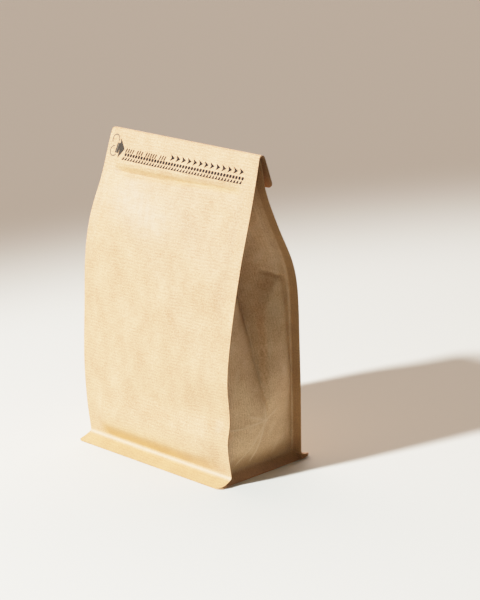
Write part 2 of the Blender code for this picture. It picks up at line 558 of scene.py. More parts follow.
@dataclass(frozen=True)
class BagForm:
    """The outline that all the sheets follow, from the rim to the flap's end."""

    width: float = float(CAD_BOX[1][0] - CAD_BOX[0][0])
    rim_depth: float = float(CAD_BOX[1][1] - CAD_BOX[0][1])
    paper: float = 0.00022
    seam: float = 0.00003
    fin: float = 0.0085
    crease_height: float = 0.0055
    fold_height: float = 0.2205
    top_wall: float = 0.0010
    fold_radius: float = 0.0028
    flap_length: float = 0.0233
    flap_lean: float = math.radians(21.0)
    flap_corner: float = 0.0045
    fold_tuck: float = 0.0022
    rim_side: float = 0.0680
    rim_corner: float = 0.0060
    sharp_corner: float = 0.0018
    rim_flare: float = 0.0022
    corner_lift: float = 0.0024
    corner_reach: float = 0.009
    corner_fade: float = 0.004
    rim_turn: float = 0.0060
    front_right: Profile = Profile((
        (0.0055, -0.0352), (0.030, -0.0390), (0.046, -0.0370), (0.075, -0.0393),
        (0.110, -0.0351), (0.150, -0.0268), (0.190, -0.0160), (0.2205, -0.0089),
    ))
    front_left: Profile = Profile((
        (0.0055, -0.0352), (0.030, -0.0386), (0.060, -0.0404), (0.100, -0.0391),
        (0.140, -0.0369), (0.165, -0.0310), (0.190, -0.0205), (0.2205, -0.0103),
    ))
    back: Profile = Profile((
        (0.0055, 0.0343), (0.050, 0.0332), (0.085, 0.0316), (0.125, 0.0290),
        (0.145, 0.0238), (0.170, 0.0105), (0.190, 0.0006), (0.200, -0.0032),
    ))

    @property
    def root(self) -> float:
        """Half the width between the gussets' roots, inside the fins."""
        return self.width / 2 - self.fin

    @property
    def sealed(self) -> float:
        """How far behind a panel's face the face of a sheet sealed to it lies."""
        return 2 * self.paper + self.seam

    def front_at(self, height: Array, side: Array) -> Array:
        """The front panel's y: a blend of its left and right edges' profiles."""
        return mix(self.front_left.at(height), self.front_right.at(height), (side + 1) / 2)

    def back_at(self, height: Array, side: Array) -> Array:
        """The back panel's y: its profile, then straight to the foot of the fold.

        Args:
            height: Heights above the base.
            side: Where across, from -1 to 1.

        Returns:
            y at each place.
        """
        join, neck = self.back.stations[-1]
        top = self.front_at(np.full_like(height, self.fold_height), side) + self.top_wall
        share = np.clip((height - join) / (self.fold_height - join), 0.0, 1.0)
        return np.where(height <= join, self.back.at(height), mix(neck, top, share))

    def rounded_half(self, inset: Array, radius: float) -> Array:
        """Half the width at an inset from an edge with round corners.

        Args:
            inset: Distances from the edge.
            radius: The corners' radius.

        Returns:
            The half width at each distance: less inside the radius, by a circle.
        """
        miss = np.clip(radius - inset, 0.0, radius)
        return self.width / 2 - radius + np.sqrt(radius**2 - miss**2)

    def rim_half(self, rim: Array, run: float, side: Side) -> Array:
        """Half the rim's width on one side, from its edge at 0 to its crease at 1.

        The right corners are cut round. The left ones are sharp, and the rim
        flares out to them by the square of the distance below the crease.

        Args:
            rim: The share of the rim, from its edge.
            run: The rim's own width.
            side: Which side.

        Returns:
            The half width.
        """
        if side is Side.RIGHT:
            return self.rounded_half(rim * run, self.rim_corner)
        flare = self.rim_flare * np.square(1.0 - rim)
        return self.rounded_half(rim * run, self.sharp_corner) + flare

    def curl(self, points: Array) -> Array:
        """How far the rim's back right corner is turned up, at points near the base.

        The lift is an ease along each side towards the corner, times each other.

        Args:
            points: Points, of any shape by 3.

        Returns:
            The lift of each point.
        """
        x, y, z = points[..., 0], points[..., 1], points[..., 2]
        run = self.corner_reach
        reach = ease((x - self.root) / run) * ease((y - self.rim_depth / 2 + run) / run)
        return self.corner_lift * reach * ease((run - z) / self.corner_fade)

    def fold_start(self) -> float:
        """The front panel's lean from upright at the foot of the fold.

        Returns:
            The angle over the last flap's length of the panel, in radians.
        """
        ends = np.array([self.fold_height - self.flap_length, self.fold_height])
        low, high = self.front_at(ends, np.zeros(2))
        return math.atan2(high - low, self.flap_length)

    def over_fold(self, side: Array, depth: Array, turn: Array, run: Array) -> tuple[Array, Array]:
        """Places in the folded top.

        Args:
            side: Where across, from -1 to 1.
            depth: How far under the outer face.
            turn: How much of the fold is turned, from 0 to 1.
            run: The distance past the end of the fold.

        Returns:
            y and z. A layer turns round the fold's centre at the fold's
            radius less its depth, then runs straight down the flap.
        """
        start = self.fold_start()
        heading = start + (math.pi - self.flap_lean - start) * turn
        foot = self.front_at(np.full(np.shape(side), self.fold_height), side)
        reach = self.fold_radius - depth
        centre_y = foot + self.fold_radius * math.cos(start)
        centre_z = self.fold_height - self.fold_radius * math.sin(start)
        y = centre_y - reach * np.cos(heading) + run * np.sin(heading)
        z = centre_z + reach * np.sin(heading) + run * np.cos(heading)
        return y, z


@dataclass(frozen=True)
class Rows:
    """How the rows of a sheet are shared along the bag, from rim to flap."""

    rim: int = 14
    body: int = 214
    fold: int = 12
    flap: int = 26

    def stations(self) -> tuple[Array, Array, Array, Array]:
        """The rows' shares of the rim, the body, the fold and the flap.

        Returns:
            Four arrays of one value for each row. Each is 0 before its own
            stretch, runs from 0 to 1 along it, and stays 1 after it.
        """
        total = self.rim + self.body + self.fold + self.flap + 1
        row = np.arange(total, dtype=float)
        ends = np.cumsum([0, self.rim, self.body, self.fold, self.flap])
        return tuple(
            np.clip((row - low) / (high - low), 0.0, 1.0) for low, high in zip(ends, ends[1:])
        )


def soften(values: Array, axis: int, centre: float, reach: float, passes: int) -> Array:
    """Rounds a bend in a grid with a 1-2-1 average near one row or column.

    Args:
        values: The grid.
        axis: 0 to average along the rows' direction, 1 along the columns'.
        centre: The row or column that is rounded.
        reach: How many rows or columns the rounding fades over.
        passes: How many times the average is taken.

    Returns:
        The rounded grid.
    """
    index = np.arange(values.shape[axis], dtype=float)
    weight = hump(index - centre, reach)
    shape = [1] * values.ndim
    shape[axis] = -1
    weight = weight.reshape(shape)
    out = values
    for _ in range(passes):
        ahead = np.roll(out, -1, axis=axis)
        behind = np.roll(out, 1, axis=axis)
        out = out + weight * ((ahead + behind) / 4 - out / 2)
    return out


# ------------------------------------------------------------------ the sheets


@dataclass
class Panel:
    """What the front and the back panel share: their grid and their swelling."""

    form: BagForm
    rows: Rows = Rows()
    columns: int = 150
    swell: float = 0.0026
    heel: float = 0.0042
    heel_height: float = 0.0185
    heel_fall: Place = (0.0072, 0.0170)
    ridge: float = 0.00045
    ridge_width: float = 0.0011
    seal_sink: float = 0.00010
    seal_width: float = 0.0009
    crest_width: float = 0.0012
    shape: Lumps = Lumps(seed=11, length=0.046)
    shape_rise: float = 0.00042
    dimples: Lumps = Lumps(seed=23, length=0.015)
    dimple_rise: float = 0.00007

    def sides(self) -> Array:
        """Where the columns lie, from -1, left, to 1, right."""
        return np.linspace(-1.0, 1.0, self.columns + 1)[None, :]

    def inside(self, side: Array) -> Array:
        """1 in the middle of the panel and 0 at the seals: 1 - (x / root)^2."""
        share = np.abs(side) * self.form.width / 2 / self.form.root
        return np.clip(1.0 - share**2.4, 0.0, 1.0)

    def bow(self, height: Array, side: Array) -> Array:
        """How far the panel swells out at its contents.

        The swell rises and falls with height as a sine, flat at rim and fold.
        Near the rim the heel, a low roll of the panel over its crease, adds a
        bell of the height.

        Args:
            height: Heights above the base.
            side: Where across, from -1 to 1.

        Returns:
            The distance outwards.
        """
        form = self.form
        share = (height - form.crease_height) / (form.fold_height - form.crease_height)
        rise = self.swell * np.sin(math.pi * np.clip(share, 0.0, 1.0)) ** 0.7
        middle = self.inside(side)
        off = height - self.heel_height
        below, above = self.heel_fall
        roll = self.heel * hump(off, np.where(off < 0.0, below, above))
        roll = roll * ease((height - form.crease_height + 0.001) / 0.006)
        return rise * middle + roll * ease(middle * 1.6)

    def lumps(self, across: Array, height: Array, side: Array) -> Array:
        """The soft unevenness of the filled panel, none at the seals and rim.

        Args:
            across: Places across the panel.
            height: Heights above the base.
            side: Where across, from -1 to 1.

        Returns:
            The height of the relief.
        """
        form = self.form
        calm = ease((height - form.crease_height) / 0.02)
        calm = calm * ease((form.fold_height - height) / 0.02)
        broad = self.shape_rise * self.shape.at(across, height * 0.8)
        small = self.dimple_rise * self.dimples.at(across, height)
        return (broad + small) * calm * ease(self.inside(side) * 2.5)

    def half_width(self, rim: Array, flap: Array, rim_run: float, sides: Array) -> Array:
        """Half the sheet's width, less at its round corners.

        Args:
            rim: Each row's share of the rim.
            flap: Each row's share of the flap.
            rim_run: The rim's own width.
            sides: Where across, from -1 to 1.

        Returns:
            The half width for each row and place across.
        """
        form = self.form
        left, right = (form.rim_half(rim, rim_run, side) for side in Side)
        low = np.where(sides < 0.0, left, right)
        high = form.rounded_half((1.0 - flap) * form.flap_length, form.flap_corner)
        return np.where(rim < 1.0, low, high)

    def surface(self, layer: Layer) -> tuple[Array, Array, Array, Array]:
        """The panel's face before its relief.

        The rim is a straight slope from the table up to the crease. The body
        follows its profile and swells. The top turns over the fold and runs
        down the flap, as a layer of it.

        Args:
            layer: Whether this is the front or the back panel.

        Returns:
            The points, and for each the height, the side and the rim's share.
        """
        form = self.form
        front = layer is Layer.FRONT
        out = -1.0 if front else 1.0
        rim, body, fold, flap = (share[:, None] for share in self.rows.stations())
        flap = 1.0 - (1.0 - flap) ** 1.5
        side = self.sides()
        height = mix(form.crease_height, form.fold_height, body)
        height = np.broadcast_to(height, (height.shape[0], side.shape[1]))
        line = form.front_at(height, side) if front else form.back_at(height, side)
        edge = out * form.rim_depth / 2
        crease = line[self.rows.rim : self.rows.rim + 1]
        y = np.where(rim < 1.0, mix(edge, crease, rim), line + out * self.bow(height, side))
        z = np.where(rim < 1.0, mix(form.sealed, form.crease_height, rim), height)
        depth = 0.0 if front else form.top_wall
        top_y, top_z = form.over_fold(side, depth, fold, flap * form.flap_length)
        y = np.where(fold > 0.0, top_y, y)
        z = np.where(fold > 0.0, top_z, z)
        rim_run = form.rim_depth / 2 - abs(float(crease[0, 0]))
        below = np.where(fold <= 0.0, (form.fold_height - height) / form.fold_radius, 0.0)
        apex = np.abs(fold - 0.5) * 2.0 + below + flap * form.flap_length / form.fold_radius
        tuck = np.where(side < 0.0, form.fold_tuck, 0.4 * form.fold_tuck)
        half = self.half_width(rim, flap, rim_run, side) - tuck * np.exp(-1.4 * apex)
        x = side * half
        points = np.stack([np.broadcast_to(x, y.shape), y, z], axis=2)
        points[..., 1:] = soften(points[..., 1:], 0, self.rows.rim, 1.6, 3)
        return points, height, np.broadcast_to(side, y.shape), np.broadcast_to(rim, y.shape)

    def sheet(self, layer: Layer) -> tuple[Sheet, Array]:
        """The panel's sheet with its seals, ridge and lumps, before its own marks.

        The place along the paper is the sum of the steps up its middle.

        Args:
            layer: Whether this is the front or the back panel.

        Returns:
            The sheet, and the height above the base of each of its points.
        """
        points, height, side, rim = self.surface(layer)
        steps = np.linalg.norm(np.diff(points, axis=0), axis=2)
        middle = steps[:, self.columns // 2]
        along = np.concatenate([[0.0], np.cumsum(middle)])[:, None]
        along = np.broadcast_to(along, height.shape)
        across = points[..., 0].copy()
        if layer is Layer.BACK:
            points = points[:, ::-1]
            across = -across[:, ::-1]
            height, side, rim = height[:, ::-1], side[:, ::-1], rim[:, ::-1]
        made = Sheet(points, across, along)
        x = made.points[..., 0]
        in_body = (rim >= 1.0) & (height < self.form.fold_height)
        relief = np.where(in_body, self.lumps(x, height, side), 0.0)
        crest = self.ridge * hump(along - along[self.rows.rim], self.ridge_width)
        relief = relief + crest * ease(self.inside(side) * 4.0)
        seal = np.abs(x) - self.form.root
        relief = relief - self.seal_sink * hump(seal, self.seal_width) * in_body
        made.raise_by(relief)
        made.points[..., 2] += self.form.curl(made.points)
        return made, height


@dataclass
class FrontPanel(Panel):
    """The front sheet: rim, panel, fold and the outside of the flap."""

    groove_height: float = 0.1962
    groove_depth: float = 0.0019
    groove_width: float = 0.0027
    dents: tuple[Dent, ...] = (
        Dent((-0.032, 0.168), (0.026, 0.018), -0.0030, 0.20),
        Dent((-0.044, 0.186), (0.010, 0.005), -0.0005, 0.30),
        Dent((-0.012, 0.184), (0.012, 0.004), -0.0005, -0.35),
        Dent((0.012, 0.170), (0.016, 0.020), 0.0010, -0.30),
        Dent((0.036, 0.186), (0.020, 0.008), -0.0006, 0.15),
        Dent((0.030, 0.160), (0.012, 0.016), 0.0007, 0.40),
        Dent((0.0035, 0.0447), (0.0040, 0.0022), 0.00045, -0.35),
        Dent((0.0210, 0.0353), (0.0050, 0.0020), 0.00045, -0.25),
        Dent((0.0480, 0.0530), (0.013, 0.010), 0.0009, 0.30),
        Dent((0.0600, 0.0420), (0.006, 0.005), -0.0006, 0.0),
        Dent((-0.0050, 0.0780), (0.005, 0.003), 0.00030, 0.50),
    )

    # Painted sheen in patches, a painted highlight on the rim's crease, and painted shade on the
    # rim, in the heel and in a band at the groove.
    sheen_mottle: Lumps = Lumps(seed=71, length=0.0065)
    sheen_patches: tuple[Dent, ...] = (
        Dent((-0.038, 0.180), (0.020, 0.013), -1.0),
        Dent((-0.010, 0.170), (0.016, 0.012), -1.0),
        Dent((0.061, 0.041), (0.0035, 0.0045), -1.0),
    )
    crest_highlight: float = 0.55
    sheen_strength: float = 0.34
    rim_seal_and_shade: float = 0.55
    heel_painted_shade: float = 0.88
    heel_run: float = 0.0085
    band_painted_shade: float = 0.45
    band_rise: float = 0.0010
    band_width: float = 0.0019
    face: Sheet | None = field(default=None, init=False)

    def groove(self, across: Array, height: Array) -> Array:
        """The closing strip's mark: a step in under the strip, then a groove.

        Two bells of the distance to the strip's lower edge: a low one above
        it, where the strip stands out, and a deep one at it. The edge waves
        gently, and the groove weakens towards the right.

        Args:
            across: Places across the panel.
            height: Heights above the base.

        Returns:
            The height of the relief.
        """
        wave = 0.0007 * np.sin(across * 46.0) + 0.0006 * across / 0.06
        off = height - self.groove_height - wave
        deep = self.groove_depth * (0.75 - 0.30 * np.tanh((across - 0.020) / 0.030))
        strip = 0.45 * deep * hump(off - 0.0058, 0.0034)
        sharp = 0.30 * deep * hump(off, 0.0011)
        ends = ease((self.form.root - 0.0015 - np.abs(across)) / 0.008)
        return (strip - deep * hump(off, self.groove_width) - sharp) * ends

    def build(self, finish: bpy.types.Material) -> bpy.types.Object:
        """Makes the sheet, with its strip's groove, its dents and its tones.

        The paper is painted pale along the rim's crease, a painted highlight,
        and in patches of painted sheen. It is darkened on the rim, partly as a
        seal and partly as painted shade. It is darkened with painted shade in the heel
        above it, less towards the right, and in a band at the groove.

        Args:
            finish: The paper.

        Returns:
            The finished piece.
        """
        sheet, height = self.sheet(Layer.FRONT)
        x = sheet.points[..., 0]
        relief = self.groove(x, height)
        for dent in self.dents:
            relief = relief + dent.at(x, height)
        body = (height > self.form.crease_height) & (height < self.form.fold_height)
        sheet.raise_by(np.where(body, relief, 0.0))
        run = sheet.along - sheet.along[self.rows.rim]
        # A painted highlight along the rim's crease, and patchy painted sheen.
        patchy = 0.45 + 0.55 * ease(0.5 + 0.45 * self.sheen_mottle.at(x, height * 1.2))
        sheen = patchy * sum(mark.at(x, height) for mark in self.sheen_patches)
        worn = self.crest_highlight * hump(run, self.crest_width) + self.sheen_strength * sheen
        sheet.worn = np.clip(worn, 0.0, 1.0)
        # Painted shade on the rim, which is also a seal, in the heel above it and in a band at the
        # groove.
        rim = self.rim_seal_and_shade * ease((-run - 0.0004) / 0.0030)
        heel = self.heel_painted_shade * hump(np.maximum(run - 0.0050, 0.0), self.heel_run)
        heel = heel * ease((run - 0.0010) / 0.0020) * (1.0 - 0.6 * ease((x - 0.005) / 0.045))
        off = height - self.groove_height - self.band_rise
        band = self.band_painted_shade * hump(off, self.band_width) * body
        fade = ease(self.inside(x / self.form.width * 2) * 1.8)
        sheet.pressed = np.maximum(rim, np.maximum(heel, band) * fade)
        self.face = sheet
        piece = sheet.shell("front_panel", self.form.paper)
        settle(piece, finish, True)
        return piece


@dataclass
class BackPanel(Panel):
    """The back sheet: rim, panel, and the inside of the fold and the flap."""

    columns: int = 120
    rows: Rows = Rows(rim=12, body=170, fold=10, flap=20)
    shape: Lumps = Lumps(seed=47, length=0.050)
    shape_rise: float = 0.00055
    dents: tuple[Dent, ...] = (
        Dent((0.028, 0.152), (0.020, 0.009), 0.0010, 0.20),
        Dent((-0.030, 0.160), (0.024, 0.008), 0.0008, -0.25),
        Dent((-0.010, 0.128), (0.018, 0.012), -0.0008, 0.10),
    )
    dented_height: float = 0.195
    # A painted highlight on the rim's crease, and painted shade on the flap's underside.
    crest_highlight: float = 0.5
    flap_painted_shade: float = 0.85
    flap_start: float = 0.004

    def build(self, finish: bpy.types.Material) -> bpy.types.Object:
        """Makes the sheet, with the soft dents where it leans in to the fold.

        It has a painted highlight along the rim's crease, and painted shade
        from the middle of the fold over the flap's underside.

        Args:
            finish: The paper.

        Returns:
            The finished piece.
        """
        sheet, height = self.sheet(Layer.BACK)
        relief = sum(dent.at(sheet.points[..., 0], height) for dent in self.dents)
        body = (height > self.form.crease_height) & (height < self.dented_height)
        sheet.raise_by(np.where(body, relief, 0.0))
        run = sheet.along - sheet.along[self.rows.rim]
        # A painted highlight along the rim's crease.
        sheet.worn = self.crest_highlight * hump(run, self.crest_width)
        # Painted shade from the middle of the fold over the flap's underside.
        first_flap = self.rows.rim + self.rows.body + self.rows.fold // 2
        past = sheet.along - sheet.along[first_flap]
        sheet.pressed = self.flap_painted_shade * ease(past / self.flap_start)
        piece = sheet.shell("back_panel", self.form.paper)
        settle(piece, finish, True)
        return piece


@dataclass
class Gusset:
    """A pleated side sheet, sealed to both panels in the fins."""

    form: BagForm
    side: Side
    rows: Rows = Rows(rim=10, body=214, fold=8, flap=16)
    fin_steps: int = 8
    half_steps: int = 46
    swell: float = 0.0038
    lumps: Lumps = Lumps(seed=5, length=0.020)
    lump_rise: float = 0.00022
    centre_fold: Profile = Profile((
        (0.0055, 0.0615), (0.020, 0.0672), (0.039, 0.0697), (0.055, 0.0686),
        (0.087, 0.0578), (0.120, 0.0440), (0.150, 0.0325), (0.180, 0.0262),
        (0.2205, 0.0262),
    ))
    creases: tuple[Crease, ...] = (
        Crease((-0.0030, 0.0392), (-0.0345, 0.0372), 0.00022, 0.0005),
        Crease((-0.0010, 0.0360), (-0.0330, 0.0085), -0.00018, 0.0006),
        Crease((-0.0020, 0.0380), (-0.0290, 0.0040), 0.00016, 0.0005),
        Crease((-0.0040, 0.0330), (-0.0110, 0.0090), 0.00035, 0.0009),
        Crease((0.0030, 0.0370), (0.0240, 0.0200), -0.00022, 0.0005),
        Crease((-0.0150, 0.0440), (-0.0020, 0.0390), 0.00014, 0.0006),
        Crease((-0.0020, 0.0390), (0.0080, 0.0440), 0.00014, 0.0006),
        Crease((-0.0020, 0.0380), (-0.0030, 0.0480), 0.00012, 0.0006),
        Crease((0.0310, 0.1310), (0.0150, 0.1370), -0.00080, 0.0018),
    )
    paled: tuple[Dent, ...] = (
        Dent((0.0235, 0.1460), (0.0060, 0.0060), -1.0),
        Dent((0.0160, 0.1100), (0.0060, 0.0080), -1.0),
    )
    ridge: Profile = Profile((
        (0.040, 0.02), (0.055, 0.08), (0.085, 0.26), (0.111, 0.42), (0.124, 0.70),
        (0.140, 1.10), (0.200, 1.10),
    ))
    ridge_rise: float = 0.0056
    ridge_width: Profile = Profile((
        (0.040, 0.22), (0.060, 0.15), (0.108, 0.16), (0.126, 0.50), (0.200, 0.60),
    ))
    rim_run: float = 0.0102
    edge_gap: float = 0.0001
    half_girth: float = 0.047
    chafing: Lumps = Lumps(seed=91, length=0.0085)
    chafe: float = 0.17
    crease_wear: float = 0.66
    fold_wear: float = 0.26
    seal_wear: float = 0.30
    # Dark tones: seals with painted shade on the fins and the rim, and painted shade alone by the
    # fins and at the foot.
    fin_seal_and_shade: float = 0.95
    strip_painted_shade: float = 0.50
    rim_seal_and_shade: float = 0.50
    foot_painted_shade: float = 0.85

    def plan(
        self, near: Array, far: Array, root: Array, middle: Array, bulge: tuple[Array, Array]
    ) -> tuple[Array, Array]:
        """The halves of the gusset in plan, for each row.

        Each half is straight from its root to the centre fold, plus a half
        sine of the swell outwards.

        Args:
            near: The front root's y for each row.
            far: The back root's y.
            root: The roots' x.
            middle: The centre fold's x.
            bulge: The swell of the front half and the back half, as columns.

        Returns:
            x and y, rows by twice the half's steps plus one.
        """
        t = np.linspace(0.0, 1.0, self.half_steps + 1)[None, :]
        arch = np.sin(math.pi * t)
        centre = (near + far) / 2
        x_near = mix(root, middle, t) + bulge[0] * arch
        x_far = mix(middle, root, t) + bulge[1] * arch
        y_near = mix(near, centre, t)
        y_far = mix(centre, far, t)
        x = np.concatenate([x_near, x_far[:, 1:]], axis=1)
        y = np.concatenate([y_near, y_far[:, 1:]], axis=1)
        return x, y

    def body_rows(self) -> tuple[Array, Array, Array]:
        """The sheet from rim to fold.

        In the rim it lies flat between the panels' rims. Above, each row runs
        in along the front fin, over the two halves of the pleat, and out
        along the back fin. A fin slopes from its panel's face at the edge to
        the gusset's root, which follows the panel's own bend.

        Returns:
            x away from the bag's middle, y and z, rows by columns.
        """
        form = self.form
        rim, body, fold, _ = (share[:, None] for share in self.rows.stations())
        sign = float(self.side.value)
        height = mix(form.crease_height, form.fold_height, body)
        side = np.full_like(height, sign)
        inner_side = side * form.root / (form.width / 2)
        outer = form.rim_depth / 2
        front, front_in = (
            np.where(rim < 1.0, mix(-outer, line, rim), line)
            for line in (form.front_at(height, at) for at in (side, inner_side))
        )
        back, back_in = (
            np.where(rim < 1.0, mix(outer, line, rim), line)
            for line in (form.back_at(height, at) for at in (side, inner_side))
        )
        z = np.where(rim < 1.0, mix(form.sealed, height, rim), height)
        turn = mix(form.rim_turn, form.sealed, rim)
        root = mix(form.rim_side, form.root, rim)
        centre = np.where(rim < 1.0, root, self.centre_fold.at(height))
        grow = ease((height - form.crease_height) / 0.022)
        fade = 1.0 - 0.75 * ease((height - 0.120) / 0.050)
        swell = np.minimum(self.swell * grow * fade, 0.10 * (back_in - front_in))
        x, y = self.plan(front_in + turn, back_in - turn, root, centre, (swell, 0.5 * swell))
        rim_half = form.rim_half(rim, self.rim_run, self.side)
        half = np.where(rim < 1.0, rim_half, form.width / 2) - self.edge_gap
        t = np.linspace(0.0, 1.0, self.fin_steps + 1)[None, :-1]
        fin_x = mix(half, root, t)
        fin_y = mix(front + form.sealed, front_in + turn, t)
        end_x = mix(root, half, 1.0 - t[:, ::-1])
        end_y = mix(back_in - turn, back - form.sealed, 1.0 - t[:, ::-1])
        x = np.concatenate([fin_x, x, end_x], axis=1)
        y = np.concatenate([fin_y, y, end_y], axis=1)
        return x, y, np.broadcast_to(z, x.shape)

    def top_rows(self, columns: int) -> tuple[Array, Array, Array]:
        """The sheet over the fold: two halves flattened between the panels.

        Args:
            columns: How many points each row has.

        Returns:
            x away from the bag's middle, y and z, rows by columns.
        """
        form = self.form
        _, _, fold, flap = (share[:, None] for share in self.rows.stations())
        side = np.full_like(fold, float(self.side.value))
        place = np.linspace(-1.0, 1.0, columns)[None, :]
        fin_share = self.fin_steps / (self.fin_steps + self.half_steps)
        depth = mix(form.sealed, form.top_wall - form.sealed, (place + 1) / 2)
        half = form.rounded_half((1.0 - flap) * form.flap_length, form.flap_corner)
        half = half - self.edge_gap
        pleat = self.centre_fold.stations[-1][1]
        inward = (1.0 - np.abs(place)) / fin_share
        x = np.where(
            inward < 1.0,
            mix(half, form.root, np.clip(inward, 0.0, 1.0)),
            mix(form.root, pleat, (1.0 - np.abs(place) - fin_share) / (1.0 - fin_share)),
        )
        x = np.minimum(x, half)
        y, z = form.over_fold(side, depth, fold, flap * form.flap_length)
        return x, y, z

    def bulge(self, share: Array, z: Array) -> Array:
        """The filled part's bulge in the back half, up to the ridge that bounds it.

        Towards the centre fold and the empty top the bulge falls away past
        the ridge, as an ease over the ridge's width. Towards the back root it
        sinks as 1 - t^3, and it fades out towards the gusset's foot.

        Args:
            share: 0 at the centre fold, 1 at the back root, below 0 in the front half.
            z: Points' height.

        Returns:
            The relief.
        """
        past = ease((share - self.ridge.at(z)) / self.ridge_width.at(z) + 1.0)
        sink = 1.0 - np.clip(share, 0.0, 1.0) ** 3
        return self.ridge_rise * past * sink * ease((z - 0.036) / 0.035) * (share > 0.0)

    def build(self, finish: bpy.types.Material) -> bpy.types.Object:
        """Makes the sheet, with its centre fold, creases and buckle.

        Args:
            finish: The paper.

        Returns:
            The finished piece.
        """
        form = self.form
        x, y, z = self.body_rows()
        columns = x.shape[1]
        top_x, top_y, top_z = self.top_rows(columns)
        in_top = self.rows.stations()[2][:, None] > 0.0
        x = np.where(in_top, top_x, x)
        y = np.where(in_top, top_y, y)
        z = np.where(in_top, top_z, z)
        grid = np.stack([x, y, z], axis=2)
        first_root = float(self.fin_steps)
        last_root = columns - 1.0 - self.fin_steps
        for column in (first_root, last_root):
            grid = np.where(in_top[..., None], grid, soften(grid, 1, column, 1.8, 3))
        grid = np.where(in_top[..., None], grid, soften(grid, 0, self.rows.rim, 1.5, 3))
        middle = (columns - 1) / 2.0
        low = ease((0.070 - z[..., None]) / 0.03)
        grid = mix(grid, soften(grid, 1, middle, 4.0, 14), low)
        flat = np.linspace(-self.half_girth, self.half_girth, columns)
        made = Sheet(grid, np.broadcast_to(flat, x.shape), np.maximum(z, 0.0))
        self.mark(made, columns)
        sign = self.side.value
        made.points = made.points * np.array([sign, 1.0, 1.0])
        made.points[..., 2] += form.curl(made.points)
        if self.side is Side.LEFT:
            made.points = made.points[:, ::-1]
            made.across = made.across[:, ::-1] * -1.0
            made.along = made.along[:, ::-1]
            made.worn = made.worn[:, ::-1]
            made.pressed = made.pressed[:, ::-1]
        made.across, made.along = made.along, made.across
        piece = made.shell(f"gusset_{self.side.name.lower()}", form.paper)
        settle(piece, finish, True)
        return piece

    def mark(self, made: Sheet, columns: int) -> None:
        """Adds the creases, the buckle and the lumps, then the pale and dark tones.

        Creases that stand out, the centre fold, the seals' lines and chafed
        patches are made pale by wear. The fins and the rim are darkened partly
        as seals and partly as painted shade. The strips beside the fins and
        the foot are darkened as painted shade alone.

        Args:
            made: The gusset's sheet, which is changed.
            columns: How many points each row has.
        """
        y, z = made.points[..., 1], made.points[..., 2]
        place = np.linspace(-1.0, 1.0, columns)[None, :]
        fin_share = self.fin_steps / (self.fin_steps + self.half_steps)
        inner = np.clip((1.0 - np.abs(place)) / fin_share - 1.0, 0.0, 1.0)
        body = ease((z - self.form.crease_height - 0.002) / 0.006) * ease((0.205 - z) / 0.03)
        share = place / (1.0 - fin_share)
        relief = self.bulge(share, z)
        worn = np.zeros_like(z)
        for crease in self.creases:
            strength = crease.at(y, z)
            relief = relief + crease.rise * strength
            worn = np.maximum(worn, strength * (crease.rise > 0.0))
        fold_line = hump(place * self.half_steps, 1.6) * ease((z - 0.045) / 0.02)
        fold_line = fold_line * ease((0.150 - z) / 0.04)
        worn = np.maximum(self.crease_wear * worn, self.fold_wear * fold_line)
        soft = self.lump_rise * self.lumps.at(y, z * 0.7)
        rub = sum(mark.at(y, z) for mark in self.paled)
        patches = ease(self.chafing.at(y * 1.4, z * 0.55) - 0.35)
        chafe = self.chafe * np.maximum(patches, 1.5 * rub)
        inset = (1.0 - np.abs(place)) / fin_share - 1.0
        broken = ease(0.8 + 0.5 * self.chafing.at(z, y))
        seal_line = self.seal_wear * hump(inset * self.fin_steps, 0.7) * broken
        made.worn = np.maximum(np.maximum(worn, chafe) * inner, seal_line) * body
        # Painted shade: the rim and the fins partly as seals, the strips by the fins and the foot
        # for shade alone.
        rim = self.rim_seal_and_shade * ease((self.form.crease_height + 0.0005 - z) / 0.002)
        foot = self.foot_painted_shade * ease((0.022 - z) / 0.014)
        fin = self.fin_seal_and_shade * ease(-inset * 4.0)
        strip = self.strip_painted_shade * (1.0 - inner**2)
        made.pressed = np.maximum(np.maximum(fin, strip), np.maximum(rim, foot))
        made.raise_by((relief + soft) * body * inner)


@dataclass
class BottomSheet:
    """The bottom sheet: the rims' underside and the base on the table."""

    form: BagForm
    rows: int = 96
    columns: int = 120
    front_run: float = 0.0102
    side_run: float = 0.0068
    lift: float = 0.0048

    def build(self, finish: bpy.types.Material) -> bpy.types.Object:
        """Makes the sheet.

        From each edge it climbs evenly to the crease under the panels, then
        sinks to the table: the lift times a ramp of the distance to the
        nearest edge, in units of that edge's rim. It lies flat inside.

        Args:
            finish: The paper.

        Returns:
            The finished piece.
        """
        form = self.form
        outer = form.rim_depth / 2
        y = outer * np.sin(np.linspace(-1.0, 1.0, self.rows + 1) * math.pi / 2)[:, None]
        u = np.sin(np.linspace(-1.0, 1.0, self.columns + 1) * math.pi / 2)[None, :]
        inset = outer - np.abs(y)
        rim = np.clip(inset / self.front_run, 0.0, 1.0)
        left, right = (form.rim_half(rim, self.front_run, side) for side in Side)
        side_edge = mix(form.rim_side, form.width / 2, 1.0 - rim)
        half = np.minimum(np.where(u < 0.0, left, right), side_edge)
        x = u * half
        near = np.minimum(inset / self.front_run, (half - np.abs(x)) / self.side_run)
        climb = np.clip(near, 0.0, 1.0)
        sink = 1.0 - ease((near - 1.0) / 0.9)
        z = self.lift * np.where(near < 1.0, climb, sink)
        y = np.broadcast_to(y, x.shape)
        points = np.stack([x, y, z], axis=2)[:, ::-1]
        sheet = Sheet(points, x[:, ::-1], y + outer)
        sheet.points[..., 2] += form.curl(sheet.points)
        piece = sheet.shell("bottom_sheet", form.paper)
        settle(piece, finish, True)
        return piece


# ------------------------------------------------------------------- the print


